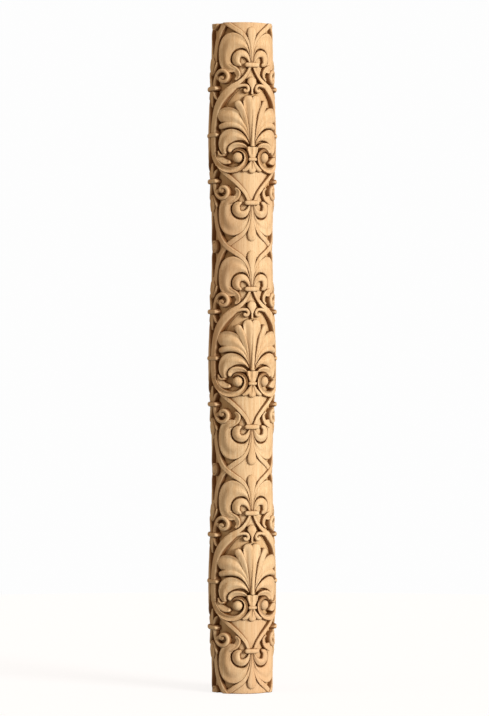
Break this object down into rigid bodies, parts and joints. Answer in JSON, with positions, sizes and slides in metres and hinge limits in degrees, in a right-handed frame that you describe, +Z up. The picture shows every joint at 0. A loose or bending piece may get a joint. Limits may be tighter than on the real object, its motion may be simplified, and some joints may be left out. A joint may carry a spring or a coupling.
{
  "type": "iconostasis column",
  "caption": "Round carved wooden column with scrollwork, palmettes and crossing straps in full relief all round, square-cut at both ends.",
  "frame": {"origin": "centre of the bottom end face, on the column's axis", "axes": "+Z up along the column's axis; -Y is the front, facing the middle of one carved panel, and +Y faces the middle of the other"},
  "size_m": [0.1286, 0.124, 1.2],
  "materials": {
    "carved_wood": "bare carved hardwood, sanded, unvarnished"
  },
  "bodies": {
    "root": {"column": "carved_wood"}
  },
  "joints": []
}
